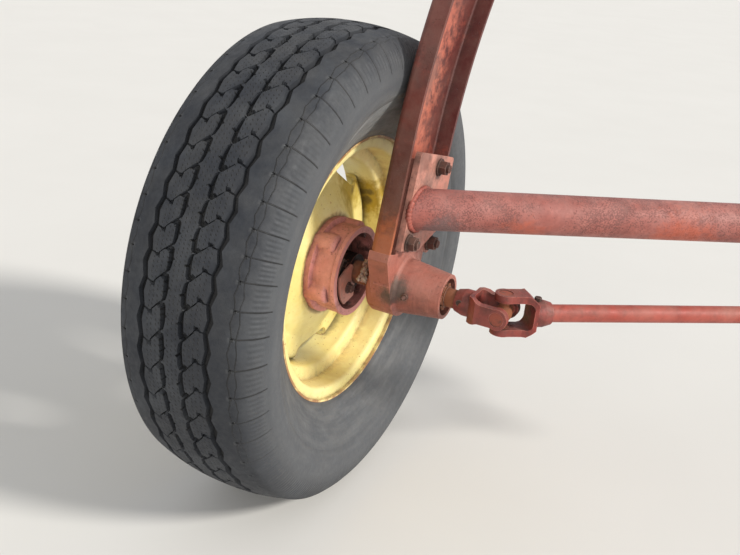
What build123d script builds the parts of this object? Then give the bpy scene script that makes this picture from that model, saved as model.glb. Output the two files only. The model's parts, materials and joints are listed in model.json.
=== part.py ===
from build123d import *
from math import cos, radians, sin
import os

os.makedirs("parts", exist_ok=True)

# Driving dimensions, in millimetres and degrees

# Layout of the unit
tube_length = 750           # leg plate to frame flange, along the tube
tube_rise = 120.5           # tube centre above the axle
axle_turn = 36              # from the tube to the axle, seen from above
leg_lean = 14               # leg off the vertical, in the plane of the wheel
shaft_turn = 38             # from the axle to the drive shaft, seen from above

# Leg, a formed channel that opens away from the wheel
web_place = 114             # wheel centre to the outer face of the web
channel_width = 150
channel_offset = -8         # centre of the channel from the axle, across the leg
channel_depth = 31
channel_wall = 6
channel_bend = 9            # outer radius of the two long bends
leg_foot = 49               # lower end of the leg above the axle
leg_straight = 150          # foot to the start of the curve
leg_curve = 1650            # radius of the curve at the web
leg_sweep = 15              # how far the curve turns
leg_top_length = 90         # straight length above the curve
leg_hole = 7                # radius of the frame bolt holes in the web
leg_hole_square = 50        # side of the square that the frame holes make
leg_hole_drop = 45          # centre of that square below the top end

# Leg plate, welded on the oblique end of the tube
plate_wall = 9
plate_half = 66
plate_low = 56
plate_high = 197
plate_corner_side = 88      # where the clipped corner meets the long edge
plate_corner_foot = 2       # where it meets the lower edge

# Bolts through the plate, the post and the web
bolt_radius = 6
bolt_head = 8
bolt_head_radius = 11       # centre to corner of the hexagon
nut_height = 10.5
washer_wall = 2.5
washer_radius = 13
bolt_tail = 4
upper_bolt = (13, 180)
lower_bolt = (-46, 68)
ear_bolt = (58, 64)
ear_radius = 17

# Cross tube and frame flange
tube_radius = 30.15
tube_wall = 4
flange_wall = 12
flange_width = 120
flange_height = 110
flange_hole_width = 80
flange_hole_height = 76
flange_hole = 6.75
shaft_stop = 10             # far fork to the frame flange, which the shaft swings past

# Axle housing
block_stand = 13            # outboard face of the round boss beyond the web
block_radius = 48
block_round = 9
block_rear = 35             # rear edge of the block, across the leg
post_front = -60
post_rear = 45
post_high = 186
barrel_root = 41
barrel_end = 33.5
barrel_flare = 6
barrel_reach = 214          # wheel centre to the open end
barrel_mouth = 28
barrel_mouth_depth = 26
fitting_lead = 19           # root of the barrel to the grease fitting
fitting_seat = 38           # axle to the seat of the grease fitting
fitting_radius = 5
fitting_nut = 6             # height of the fitting's hexagon, drawn round
fitting_neck = 3
fitting_tip = 2
fitting_height = 14
housing_bore = 24
bearing_width = 16
seal_stand = 4
seal_radius = 33

# Stub shaft and castle nut
stub_radius = 17.5
stub_outboard = -46
thread_radius = 16
thread_back = 20            # open end of the barrel back to the thread
nut_back = 17               # open end of the barrel back to the castle nut
nut_wall = 15
castle_radius = 21          # centre to corner of the hexagon
castle_slot = 4.5
castle_slot_depth = 6
cotter_radius = 2
stub_end_radius = 14
stub_chamfer = 1
nut_land = 2                # plain length past the castle nut
running_gap = 0.05
seat_gap = 0.02
thrust_gap = 0.3            # end play against a turning face

# Rim
seat_radius = 190.5
lip_height = 17.5           # lip above the bead seat
lip_half = 63
seat_half = 54
well_depth = 22.5           # floor of the well below the bead seat
well_outboard = -30
well_inboard = 16
rim_wall = 3.5
rim_bend = 4
bead_gap = 0.3

# Tyre
tyre_height = 171.5         # bead seat to the middle of the tread
tyre_half = 110
bulge_rise = 105.5          # bead seat to where the tyre is widest
tread_half = 88
tread_drop = 12             # edge of the tread below its middle
tyre_wall = 11
crown_wall = 13
bead_width = 13
groove_places = (-46, -14.5, 14.5, 46)      # across the tread
groove_width = 6
groove_depth = 8            # below the middle of the tread
# Middle points of the arcs of the section, in from the side and down
crown_sag = 2.6
shoulder_inset = 5
shoulder_fall = 25
bulge_inset = 8             # where the bulge turns into the flatter wall
bulge_fall = 25
wall_inset = 23
wall_fall = 51
liner_shoulder_inset = 6.6
liner_shoulder_fall = 18
liner_wall_inset = 14
liner_wall_fall = 44

# Wheel disc
disc_face = 14              # wheel centre to the face that meets the drum
disc_wall = 5
disc_bore = 38
disc_flat = 84
disc_shoulder = 122
disc_shoulder_back = 20     # from the disc's face, outboard
disc_skirt_back = 26
disc_skirt_length = 20
window_count = 5
window_turn = 57.5          # first window, from the rear toward the top
window_inset = 12.5         # skirt to the middle of a window
window_width = 34
window_length = 92

# Hub drum
drum_length = 49
drum_radius = 67
drum_wall = 7
drum_back = 8
drum_flange = 75
drum_lip = 70
drum_lip_width = 6
boss_radius = 30
boss_outboard = -34
lobe_count = 5
lobe_turn = 57.5
lobe_radius = 17
lobe_circle = 60
lobe_length = 36
lobe_blend = 14             # hollow between a lobe and the drum
lobe_round = 7              # rounded inboard end of a lobe
lobe_bury = 1               # depth of the lobes' round root inside the drum
tooth_count = 10
tooth_outline = ((1, -6), (-6, -6), (1, 12))    # outward and along, from the inner wall
tooth_start = 34
tooth_width = 22
lug_circle = 57.15
lug_radius = 6.5
lug_head_radius = 12.5
lug_nut = 14
lug_boss = 11
lug_depth = 14              # depth of the threaded hole in the drum
lug_end_gap = 1
cap_wall = 2.5
cap_length = 22
collar_radius = 24
collar_wall = 9
valve_rise = 8              # floor of the well to the centre of the valve
valve_turn = 94
valve_hole = 5.5
valve_steps = ((-30, -38, 5.5), (-38, -44, 7), (-44, -58, 4), (-58, -64, 5))    # from, to, radius

# Pawl carrier, carried by the stub shaft inside the drum
carrier_start = 36
carrier_wall = 12
carrier_hub = 27
carrier_end = 62
carrier_arm = 10            # radius of the end of each arm
carrier_turn = 150          # first arm, from the rear toward the top
pawl_count = 2
pawl_place = 34             # pivot of each pawl from the axle
pawl_outline = ((-5, -8), (9, -8), (9, 10), (8, 22), (-2.5, 15), (-6, 5))   # from the pivot
pawl_wall = 9
pawl_pin = 5

# Universal joint, the same fork on both sides
trunnion_radius = 7.5
trunnion_half = 27
cross_core = 13
cup_radius = 10.5
cup_half = 30
cup_floor = 2.7
fork_inner = 20.5
fork_outer = 31
fork_boss = 15.5
fork_arm = 14.5
fork_throat = 40
fork_floor = 6
fork_shoulder = 33          # where the cheeks start to narrow toward the hub
fork_arm_root = 27          # where the arms start to widen toward the hub
fork_hub = 20
fork_hub_end = 16.5
fork_length = 70
throat_round = 9

# Drive shaft
shaft_radius = 13
joint_lead = 86             # open end of the barrel to the centre of the universal joint

# Places and planes that follow from the layout
axle_angle = radians(axle_turn)
inboard = Vector(cos(axle_angle), -sin(axle_angle), 0)
rearward = Vector(sin(axle_angle), cos(axle_angle), 0)
upward = Vector(0, 0, 1)
lean_angle = radians(leg_lean)
leg_across = rearward * cos(lean_angle) - upward * sin(lean_angle)
leg_up = upward * cos(lean_angle) + rearward * sin(lean_angle)
toe_place = web_place + channel_depth
plate_face = toe_place + plate_wall
tube_start = Vector(-tube_length, 0, 0)
wheel_centre = tube_start - inboard * plate_face - upward * tube_rise
block_face = web_place - block_stand
joint_reach = barrel_reach + joint_lead
joint_centre = wheel_centre + inboard * joint_reach
turn = radians(shaft_turn)
shaft_dir = inboard * cos(turn) + rearward * sin(turn)
far_place = -flange_wall - shaft_stop - fork_boss
shaft_length = (far_place - joint_centre.X) / shaft_dir.X
far_centre = joint_centre + shaft_dir * shaft_length
wheel_side = Plane(wheel_centre, x_dir=rearward, z_dir=inboard)
axle_section = Plane(wheel_centre, x_dir=inboard, z_dir=-rearward)
axle_line = Axis(wheel_centre, inboard)
leg_side = Plane(wheel_centre, x_dir=leg_across, z_dir=inboard)


def finish(piece, name):
    piece.part.label = name
    export_step(piece.part, "parts/" + name + ".step")


# Leg channel: one bent section carried up a straight, a curve and a straight
foot_point = wheel_centre + leg_up * leg_foot + inboard * web_place + leg_across * channel_offset
curve_plane = Plane(foot_point, x_dir=inboard, z_dir=-leg_across)
with BuildPart() as leg_channel:
    with BuildLine(curve_plane) as leg_path:
        lower = Line((0, 0), (0, leg_straight))
        bend = JernArc(lower @ 1, lower % 1, leg_curve, -leg_sweep)
        upper = PolarLine(bend @ 1, leg_top_length, direction=bend % 1)
    with BuildSketch(Plane(foot_point, x_dir=-leg_across, z_dir=leg_up)):
        with BuildLine():
            FilletPolyline(
                (-channel_width / 2, channel_depth),
                (-channel_width / 2, 0),
                (channel_width / 2, 0),
                (channel_width / 2, channel_depth),
                radius=channel_bend,
            )
            offset(amount=channel_wall, side=Side.LEFT)
        make_face()
    sweep(path=leg_path.line)
    # The rear lower corner is clipped along with the plate
    with BuildSketch(leg_side.offset(web_place)):
        with BuildLine():
            Polyline(
                (plate_corner_foot, leg_foot - channel_width),
                (plate_corner_foot, plate_low),
                (plate_half, plate_corner_side),
                (plate_half + channel_width, plate_corner_side),
                (plate_half + channel_width, leg_foot - channel_width),
                close=True,
            )
        make_face()
    extrude(amount=channel_depth, mode=Mode.SUBTRACT)
    # Bolt holes for the plate and the post
    with BuildSketch(leg_side.offset(web_place)):
        with Locations(upper_bolt, lower_bolt):
            Circle(bolt_radius + running_gap)
    extrude(amount=channel_wall, mode=Mode.SUBTRACT)
    # Frame bolt holes at the top of the web
    top_point = leg_path.line @ 1
    top_dir = leg_path.line % 1
    hole_point = top_point - top_dir * leg_hole_drop
    hole_side = Plane(hole_point, x_dir=leg_across, z_dir=leg_across.cross(top_dir))
    with BuildSketch(hole_side):
        with GridLocations(leg_hole_square, leg_hole_square, 2, 2):
            Circle(leg_hole)
    extrude(amount=2 * channel_wall, both=True, mode=Mode.SUBTRACT)
finish(leg_channel, "leg_channel")

# Leg plate: clipped at the lower rear corner
with BuildPart() as leg_plate:
    with BuildSketch(leg_side.offset(toe_place)) as plate_outline:
        with BuildLine():
            Polyline(
                (-plate_half, plate_low),
                (plate_corner_foot, plate_low),
                (plate_half, plate_corner_side),
                (plate_half, plate_high),
                (-plate_half, plate_high),
                close=True,
            )
        make_face()
        fillet(plate_outline.vertices().group_by(Axis.Y)[-1], channel_wall)
        with Locations(upper_bolt, lower_bolt):
            Circle(bolt_radius + running_gap, mode=Mode.SUBTRACT)
    extrude(amount=plate_wall)
finish(leg_plate, "leg_plate")

# Cross tube: cut to the slant of the plate
flange_back = Plane.YZ.offset(-flange_wall)
with BuildPart() as cross_tube:
    with BuildSketch(flange_back):
        Circle(tube_radius)
        Circle(tube_radius - tube_wall, mode=Mode.SUBTRACT)
    extrude(amount=-(tube_length + plate_face))
    split(bisect_by=leg_side.offset(plate_face), keep=Keep.TOP)
finish(cross_tube, "cross_tube")

# Frame flange: four bolts to the next frame member
with BuildPart() as frame_flange:
    with BuildSketch(flange_back):
        RectangleRounded(flange_width, flange_height, channel_bend)
        with GridLocations(flange_hole_width, flange_hole_height, 2, 2):
            Circle(flange_hole, mode=Mode.SUBTRACT)
    extrude(amount=flange_wall)
finish(frame_flange, "frame_flange")

# Axle housing: block under the leg, post inside it, tapered barrel
fitting_point = wheel_centre + inboard * (toe_place + fitting_lead)
fitting_side = Plane(fitting_point, x_dir=inboard, z_dir=-rearward)
with BuildPart() as axle_housing:
    front_edge = channel_offset - channel_width / 2
    block_width = block_rear - front_edge
    with BuildSketch(wheel_side.offset(block_face)):
        Circle(block_radius)
    extrude(amount=web_place - block_face)
    fillet(axle_housing.faces().sort_by(axle_line)[0].edges(), block_round)
    with BuildSketch(leg_side.offset(web_place)):
        Circle(block_radius)
        with Locations(((front_edge + block_rear) / 2, leg_foot - channel_wall)):
            Rectangle(block_width, 2 * channel_wall)
        make_hull()
    extrude(amount=toe_place - web_place)
    with BuildSketch(leg_side.offset(web_place + channel_wall)):
        post_width = post_rear - post_front
        with Locations(((post_front + post_rear) / 2, post_high / 2)):
            Rectangle(post_width, post_high)
        with Locations(ear_bolt):
            Circle(ear_radius)
    extrude(amount=channel_depth - channel_wall)
    with BuildSketch(axle_section):
        with BuildLine():
            flare = CenterArc((toe_place + barrel_flare, barrel_root + barrel_flare), barrel_flare, 180, 90)
            Polyline(flare @ 1, (barrel_reach, barrel_end), (barrel_reach, 0), (toe_place, 0), flare @ 0)
        make_face()
    revolve(axis=axle_line)
    with BuildSketch(wheel_side.offset(block_face)):
        Circle(housing_bore)
    extrude(amount=barrel_reach - block_face, mode=Mode.SUBTRACT)
    with BuildSketch(wheel_side.offset(barrel_reach)):
        Circle(barrel_mouth)
    extrude(amount=-barrel_mouth_depth, mode=Mode.SUBTRACT)
    with BuildSketch(leg_side.offset(web_place + channel_wall)):
        with Locations(upper_bolt, lower_bolt, ear_bolt):
            Circle(bolt_radius + running_gap)
    extrude(amount=channel_depth - channel_wall, mode=Mode.SUBTRACT)
    # Spot face and the seat of the grease fitting on the front of the barrel
    with BuildSketch(fitting_side.offset(fitting_seat)):
        Circle(fitting_radius + seat_gap)
    extrude(amount=barrel_root, mode=Mode.SUBTRACT)
finish(axle_housing, "axle_housing")

# Bearings at both ends of the housing bore
with BuildPart() as housing_bearings:
    bearing_starts = (block_face + bearing_width, barrel_reach - barrel_mouth_depth - bearing_width)
    for start in bearing_starts:
        with BuildSketch(wheel_side.offset(start)):
            Circle(housing_bore - seat_gap)
            Circle(stub_radius + running_gap, mode=Mode.SUBTRACT)
        extrude(amount=bearing_width)
finish(housing_bearings, "housing_bearings")

# Dust seal on the outboard face of the block
with BuildPart() as dust_seal:
    with BuildSketch(wheel_side.offset(block_face)):
        Circle(seal_radius)
        Circle(stub_radius + running_gap, mode=Mode.SUBTRACT)
    extrude(amount=-seal_stand)
finish(dust_seal, "dust_seal")

# Grease fitting on the front of the barrel
fitting_top = fitting_seat + fitting_height
with BuildPart() as grease_fitting:
    with BuildSketch(Plane(fitting_point, x_dir=inboard, z_dir=-upward)):
        with BuildLine():
            Polyline(
                (0, fitting_seat),
                (fitting_radius, fitting_seat),
                (fitting_radius, fitting_seat + fitting_nut),
                (fitting_neck, fitting_seat + fitting_nut),
                (fitting_neck, fitting_top - fitting_neck),
                (fitting_tip, fitting_top),
                (0, fitting_top),
                close=True,
            )
        make_face()
    revolve(axis=Axis(fitting_point, rearward))
finish(grease_fitting, "grease_fitting")

# Leg bolts: head, shank and tail of each, through everything it clamps
head_places = {upper_bolt: web_place, lower_bolt: web_place, ear_bolt: web_place + channel_wall}
nut_places = {upper_bolt: plate_face, lower_bolt: plate_face, ear_bolt: toe_place}
with BuildPart() as leg_bolts:
    for spot, head_place in head_places.items():
        bolt_end = nut_places[spot] + washer_wall + nut_height + bolt_tail
        with BuildSketch(leg_side.offset(head_place)):
            with Locations(spot):
                RegularPolygon(bolt_head_radius, 6)
        extrude(amount=-bolt_head)
        with BuildSketch(leg_side.offset(head_place)):
            with Locations(spot):
                Circle(bolt_radius)
        extrude(amount=bolt_end - head_place)
finish(leg_bolts, "leg_bolts")

# Leg nuts, each on its washer
with BuildPart() as leg_nuts:
    for spot, nut_place in nut_places.items():
        with BuildSketch(leg_side.offset(nut_place)):
            with Locations(spot):
                Circle(washer_radius)
                Circle(bolt_radius + seat_gap, mode=Mode.SUBTRACT)
        extrude(amount=washer_wall)
        with BuildSketch(leg_side.offset(nut_place + washer_wall)):
            with Locations(spot):
                RegularPolygon(bolt_head_radius, 6)
                Circle(bolt_radius + seat_gap, mode=Mode.SUBTRACT)
        extrude(amount=nut_height)
finish(leg_nuts, "leg_nuts")

# Tyre: crowned tread with round grooves, round shoulders, bulging walls, hollow inside
lip_radius = seat_radius + lip_height
well_radius = seat_radius - well_depth
tyre_radius = seat_radius + tyre_height
bulge_radius = seat_radius + bulge_rise
tread_edge = tyre_radius - tread_drop
bead_outer = seat_half - bead_gap
bead_low = seat_radius + bead_gap
bead_high = lip_radius + bead_gap
inner_half = tyre_half - tyre_wall
with BuildPart() as tyre:
    with BuildSketch(axle_section):
        with BuildLine():
            crown = ThreePointArc(
                (0, tyre_radius), (tread_half / 2, tyre_radius - crown_sag), (tread_half, tread_edge)
            )
            shoulder = ThreePointArc(
                crown @ 1,
                (tyre_half - shoulder_inset, tread_edge - shoulder_fall),
                (tyre_half, bulge_radius),
            )
            bulge = TangentArc(
                shoulder @ 1, (tyre_half - bulge_inset, bulge_radius - bulge_fall), tangent=shoulder % 1
            )
            wall = ThreePointArc(
                bulge @ 1, (tyre_half - wall_inset, bulge_radius - wall_fall), (lip_half, bead_high)
            )
            Polyline(
                wall @ 1,
                (bead_outer, bead_high),
                (bead_outer, bead_low + rim_bend),
                (bead_outer - rim_bend, bead_low),
                (bead_outer - bead_width, bead_low),
                (bead_outer - bead_width, bead_high),
            )
            inner_wall = ThreePointArc(
                (bead_outer - bead_width, bead_high),
                (inner_half - liner_wall_inset, bulge_radius - liner_wall_fall),
                (inner_half, bulge_radius),
            )
            inner_shoulder = ThreePointArc(
                inner_wall @ 1,
                (inner_half - liner_shoulder_inset, tread_edge - crown_wall - liner_shoulder_fall),
                (tread_half - tyre_wall, tread_edge - crown_wall),
            )
            ThreePointArc(
                inner_shoulder @ 1,
                (tread_half / 2, tyre_radius - crown_wall - crown_sag),
                (0, tyre_radius - crown_wall),
            )
            mirror(about=Plane.YZ)
        make_face()
        with Locations([(place, tyre_radius) for place in groove_places]):
            Rectangle(groove_width, 2 * groove_depth, mode=Mode.SUBTRACT)
    revolve(axis=axle_line)
finish(tyre, "tyre")

# Rim: one rolled strip with a well between the bead seats
valve_place = well_radius + valve_rise
with BuildPart() as rim:
    with BuildSketch(axle_section):
        with BuildLine():
            FilletPolyline(
                (-lip_half, lip_radius),
                (-seat_half, lip_radius),
                (-seat_half, seat_radius),
                (well_outboard - rim_bend, seat_radius - rim_bend / 2),
                (well_outboard, well_radius),
                (well_inboard, well_radius),
                (well_inboard + rim_bend, seat_radius - rim_bend / 2),
                (seat_half, seat_radius),
                (seat_half, lip_radius),
                (lip_half, lip_radius),
                radius=rim_bend,
            )
            offset(amount=rim_wall, side=Side.RIGHT)
        make_face()
    revolve(axis=axle_line)
    with BuildSketch(wheel_side.offset(well_outboard)):
        with PolarLocations(valve_place, 1, start_angle=valve_turn):
            Circle(valve_hole + seat_gap)
    extrude(amount=well_outboard / 2, mode=Mode.SUBTRACT)
finish(rim, "rim")

# Wheel disc: dished pressing with a window between each pair of spokes
skirt_radius = well_radius - rim_wall
skirt_place = disc_face - disc_skirt_back
skirt_end = skirt_place - disc_skirt_length
with BuildPart() as wheel_disc:
    with BuildSketch(axle_section):
        with BuildLine():
            FilletPolyline(
                (disc_face, disc_bore),
                (disc_face, disc_flat),
                (disc_face - disc_shoulder_back, disc_shoulder),
                (skirt_place, skirt_radius),
                (skirt_end, skirt_radius),
                radius=2 * disc_wall,
            )
            offset(amount=disc_wall, side=Side.LEFT)
        make_face()
    revolve(axis=axle_line)
    with BuildSketch(wheel_side.offset(skirt_end - disc_wall)):
        with PolarLocations(skirt_radius - window_inset, window_count, start_angle=window_turn):
            SlotOverall(window_length, window_width, rotation=90)
    extrude(amount=disc_face - skirt_end + 2 * disc_wall, mode=Mode.SUBTRACT)
    with BuildSketch(wheel_side.offset(disc_face)):
        with PolarLocations(lug_circle, lobe_count, start_angle=lobe_turn):
            Circle(lug_radius + 4 * running_gap)
    extrude(amount=-disc_wall, mode=Mode.SUBTRACT)
finish(wheel_disc, "wheel_disc")

# Hub drum: bossed casting with a lobe at each lug bolt and ratchet teeth inside
drum_open = disc_face + drum_length
drum_inner = drum_radius - drum_wall
drum_floor = disc_face + drum_back
drum_boss_end = drum_floor + drum_back
with BuildPart() as hub_drum:
    with BuildSketch(wheel_side.offset(disc_face)) as lobed_outline:
        Circle(drum_radius - lobe_bury)
        with PolarLocations(lobe_circle, lobe_count, start_angle=lobe_turn):
            Circle(lobe_radius)
        fillet(lobed_outline.vertices(), lobe_blend)
    extrude(amount=lobe_length)
    fillet(hub_drum.faces().sort_by(axle_line)[-1].edges(), lobe_round)
    with BuildSketch(axle_section):
        with BuildLine():
            Polyline(
                (disc_face, 0),
                (disc_face, drum_flange),
                (drum_floor, drum_flange),
                (drum_floor + drum_lip - drum_radius, drum_radius),
                (drum_open - drum_lip_width, drum_radius),
                (drum_open - drum_lip_width, drum_lip),
                (drum_open, drum_lip),
                (drum_open, 0),
                close=True,
            )
        make_face()
    revolve(axis=axle_line)
    with BuildSketch(wheel_side.offset(drum_floor)):
        Circle(drum_inner)
    extrude(amount=drum_length, mode=Mode.SUBTRACT)
    with BuildSketch(wheel_side.offset(tooth_start)):
        with PolarLocations(drum_inner, tooth_count, start_angle=lobe_turn):
            Polygon(*tooth_outline, align=None)
    extrude(amount=tooth_width)
    # Inside bosses that take the ends of the lug bolts
    with BuildSketch(wheel_side.offset(drum_floor)):
        with PolarLocations(lug_circle, lobe_count, start_angle=lobe_turn):
            Circle(lug_boss)
    extrude(amount=drum_back)
    with BuildSketch(axle_section):
        with BuildLine():
            Polyline(
                (boss_outboard, 0),
                (boss_outboard, boss_radius),
                (disc_face - disc_wall, boss_radius),
                (disc_face - disc_wall, disc_bore - bead_gap),
                (drum_floor, disc_bore - bead_gap),
                (drum_boss_end, boss_radius - drum_wall / 2),
                (drum_boss_end, 0),
                close=True,
            )
        make_face()
    revolve(axis=axle_line)
    with BuildSketch(wheel_side.offset(boss_outboard)):
        Circle(stub_radius + running_gap)
    extrude(amount=drum_open - boss_outboard, mode=Mode.SUBTRACT)
    with BuildSketch(wheel_side.offset(disc_face)):
        with PolarLocations(lug_circle, lobe_count, start_angle=lobe_turn):
            Circle(lug_radius + seat_gap)
    extrude(amount=lug_depth, mode=Mode.SUBTRACT)
finish(hub_drum, "hub_drum")

# Lug bolts, heads on the outboard side of the disc
lug_seat = disc_face - disc_wall
with BuildPart() as lug_bolts:
    with BuildSketch(wheel_side.offset(lug_seat)):
        with PolarLocations(lug_circle, lobe_count, start_angle=lobe_turn):
            RegularPolygon(lug_head_radius, 6)
    extrude(amount=-lug_nut)
    with BuildSketch(wheel_side.offset(lug_seat)):
        with PolarLocations(lug_circle, lobe_count, start_angle=lobe_turn):
            Circle(lug_radius)
    extrude(amount=disc_wall + lug_depth - lug_end_gap)
finish(lug_bolts, "lug_bolts")

# Hub cap over the outboard end of the boss
with BuildPart() as hub_cap:
    with BuildSketch(axle_section):
        with BuildLine():
            FilletPolyline(
                (boss_outboard, boss_radius),
                (boss_outboard - cap_length, boss_radius),
                (boss_outboard - cap_length, 0),
                radius=3 * cap_wall,
            )
            offset(amount=cap_wall, side=Side.RIGHT)
        make_face()
    revolve(axis=axle_line)
finish(hub_cap, "hub_cap")

# Valve stem, held by its root in the side of the well
with BuildPart() as valve_stem:
    for step_start, step_end, step_radius in valve_steps:
        with BuildSketch(wheel_side.offset(step_start)):
            with PolarLocations(valve_place, 1, start_angle=valve_turn):
                Circle(step_radius)
        extrude(amount=step_end - step_start)
finish(valve_stem, "valve_stem")

# Stub shaft: journal, thread for the castle nut, end in the inner fork
fork_seat = joint_reach - fork_throat - fork_floor
thread_start = barrel_reach - thread_back
nut_start = barrel_reach - nut_back
thread_end = nut_start + nut_wall + nut_land
cotter_point = wheel_centre + inboard * (nut_start + nut_wall - castle_slot_depth / 2)
with BuildPart() as stub_shaft:
    with BuildSketch(axle_section):
        with BuildLine():
            Polyline(
                (stub_outboard, 0),
                (stub_outboard, stub_radius - stub_chamfer),
                (stub_outboard + stub_chamfer, stub_radius),
                (thread_start, stub_radius),
                (thread_start, thread_radius),
                (thread_end, thread_radius),
                (thread_end, stub_end_radius),
                (fork_seat, stub_end_radius),
                (fork_seat, 0),
                close=True,
            )
        make_face()
    revolve(axis=axle_line)
    with BuildSketch(Plane(cotter_point, z_dir=upward)):
        Circle(cotter_radius + seat_gap)
    extrude(amount=2 * stub_radius, both=True, mode=Mode.SUBTRACT)
finish(stub_shaft, "stub_shaft")

# Castle nut that holds the shaft in the housing
with BuildPart() as castle_nut:
    with BuildSketch(wheel_side.offset(nut_start)):
        RegularPolygon(castle_radius, 6)
        Circle(thread_radius + seat_gap, mode=Mode.SUBTRACT)
    extrude(amount=nut_wall)
    with BuildSketch(wheel_side.offset(nut_start + nut_wall)):
        with PolarLocations(castle_radius, 6, start_angle=30):
            Rectangle(castle_radius, castle_slot)
    extrude(amount=-castle_slot_depth, mode=Mode.SUBTRACT)
finish(castle_nut, "castle_nut")

# Cotter pin through the castle nut and the shaft
with BuildPart() as cotter_pin:
    with BuildSketch(Plane(cotter_point, z_dir=upward)):
        Circle(cotter_radius)
    extrude(amount=castle_radius, both=True)
finish(cotter_pin, "cotter_pin")

# Pawl carrier: two arms on a hub that turns with the shaft
with BuildPart() as pawl_carrier:
    with BuildSketch(wheel_side.offset(carrier_start)):
        Circle(carrier_hub)
        with PolarLocations(pawl_place, pawl_count, start_angle=carrier_turn):
            Circle(carrier_arm)
        make_hull()
    extrude(amount=carrier_wall)
    with BuildSketch(wheel_side.offset(drum_boss_end + thrust_gap)):
        Circle(carrier_hub)
    extrude(amount=carrier_end - drum_boss_end - thrust_gap)
    with BuildSketch(wheel_side.offset(carrier_start + carrier_wall)):
        with PolarLocations(pawl_place, pawl_count, start_angle=carrier_turn):
            Circle(pawl_pin)
    extrude(amount=pawl_wall + pawl_pin)
    with BuildSketch(wheel_side.offset(drum_boss_end)):
        Circle(stub_radius + seat_gap)
    extrude(amount=carrier_end - drum_boss_end, mode=Mode.SUBTRACT)
finish(pawl_carrier, "pawl_carrier")

# Pawls: hooked plates that swing on the carrier pins
with BuildPart() as pawls:
    with BuildSketch(wheel_side.offset(carrier_start + carrier_wall)):
        with PolarLocations(pawl_place, pawl_count, start_angle=carrier_turn):
            Polygon(*pawl_outline, align=None)
            Circle(pawl_pin + seat_gap, mode=Mode.SUBTRACT)
    extrude(amount=pawl_wall)
finish(pawls, "pawls")

# Collar that keeps the wheel on the shaft, under the hub cap
with BuildPart() as shaft_collar:
    with BuildSketch(wheel_side.offset(boss_outboard - thrust_gap)):
        Circle(collar_radius)
        Circle(stub_radius + seat_gap, mode=Mode.SUBTRACT)
    extrude(amount=-collar_wall)
finish(shaft_collar, "shaft_collar")


# A fork of the universal joint: U across the pin, bossed ears along it, round hub
def build_fork(across, bore_radius):
    ear_side = Plane(across.origin, x_dir=-across.z_dir, z_dir=across.x_dir)
    hub_seat = Plane(across.origin + across.y_dir * (fork_throat + fork_floor), z_dir=across.y_dir)
    with BuildPart() as fork:
        with BuildSketch(across):
            with BuildLine():
                Polyline(
                    (-fork_outer, -fork_boss),
                    (-fork_outer, fork_shoulder),
                    (-fork_hub, fork_throat + fork_floor),
                    (fork_hub, fork_throat + fork_floor),
                    (fork_outer, fork_shoulder),
                    (fork_outer, -fork_boss),
                    close=True,
                )
            make_face()
            with BuildLine():
                FilletPolyline(
                    (-fork_inner, -2 * fork_boss),
                    (-fork_inner, fork_throat),
                    (fork_inner, fork_throat),
                    (fork_inner, -2 * fork_boss),
                    radius=throat_round,
                )
                Line((fork_inner, -2 * fork_boss), (-fork_inner, -2 * fork_boss))
            make_face(mode=Mode.SUBTRACT)
        extrude(amount=fork_hub, both=True)
        with BuildSketch(ear_side):
            Circle(fork_boss)
            with BuildLine():
                Polyline(
                    (-fork_arm, 0),
                    (-fork_arm, fork_arm_root),
                    (-fork_hub, fork_throat),
                    (-fork_hub, fork_throat + fork_floor),
                    (fork_hub, fork_throat + fork_floor),
                    (fork_hub, fork_throat),
                    (fork_arm, fork_arm_root),
                    (fork_arm, 0),
                    close=True,
                )
            make_face()
        extrude(amount=fork_outer, both=True, mode=Mode.INTERSECT)
        with BuildSketch(across):
            with BuildLine():
                Polyline(
                    (0, fork_throat + fork_floor / 2),
                    (fork_hub, fork_throat + fork_floor / 2),
                    (fork_hub, fork_length - 2 * fork_floor),
                    (fork_hub_end, fork_length),
                    (0, fork_length),
                    close=True,
                )
            make_face()
        revolve(axis=Axis(across.origin, across.y_dir))
        with BuildSketch(hub_seat):
            Circle(bore_radius)
        extrude(amount=fork_length, mode=Mode.SUBTRACT)
        with BuildSketch(ear_side):
            Circle(cup_radius + seat_gap)
        extrude(amount=2 * fork_outer, both=True, mode=Mode.SUBTRACT)
    return fork


# The two bearing cups of a fork, closed outward
def build_cups(across):
    with BuildPart() as cups:
        for way in (-1, 1):
            with BuildSketch(across):
                with BuildLine():
                    Polyline(
                        (way * fork_inner, trunnion_radius + running_gap),
                        (way * fork_inner, cup_radius),
                        (way * cup_half, cup_radius),
                        (way * cup_half, 0),
                        (way * (cup_half - cup_floor), 0),
                        (way * (cup_half - cup_floor), trunnion_radius + running_gap),
                        close=True,
                    )
                make_face()
            revolve(axis=Axis(across.origin, across.x_dir))
    return cups


inner_across = Plane(joint_centre, x_dir=rearward, z_dir=upward)
outer_across = Plane(joint_centre, x_dir=upward, z_dir=upward.cross(shaft_dir))
far_across = Plane(far_centre, x_dir=upward, z_dir=shaft_dir.cross(upward))

# Inner fork on the stub shaft, outer and far forks on the drive shaft
inner_fork = build_fork(inner_across, stub_end_radius + seat_gap)
finish(inner_fork, "inner_fork")
outer_fork = build_fork(outer_across, shaft_radius + seat_gap)
finish(outer_fork, "outer_fork")
far_fork = build_fork(far_across, shaft_radius + seat_gap)
finish(far_fork, "far_fork")
inner_cups = build_cups(inner_across)
finish(inner_cups, "inner_cups")
outer_cups = build_cups(outer_across)
finish(outer_cups, "outer_cups")

# Cross: a round core with four trunnions
with BuildPart() as cross:
    with Locations(joint_centre):
        Sphere(cross_core)
    for pin_dir in (rearward, upward):
        with BuildSketch(Plane(joint_centre, z_dir=pin_dir)):
            Circle(trunnion_radius)
        extrude(amount=trunnion_half, both=True)
finish(cross, "cross")

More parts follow.
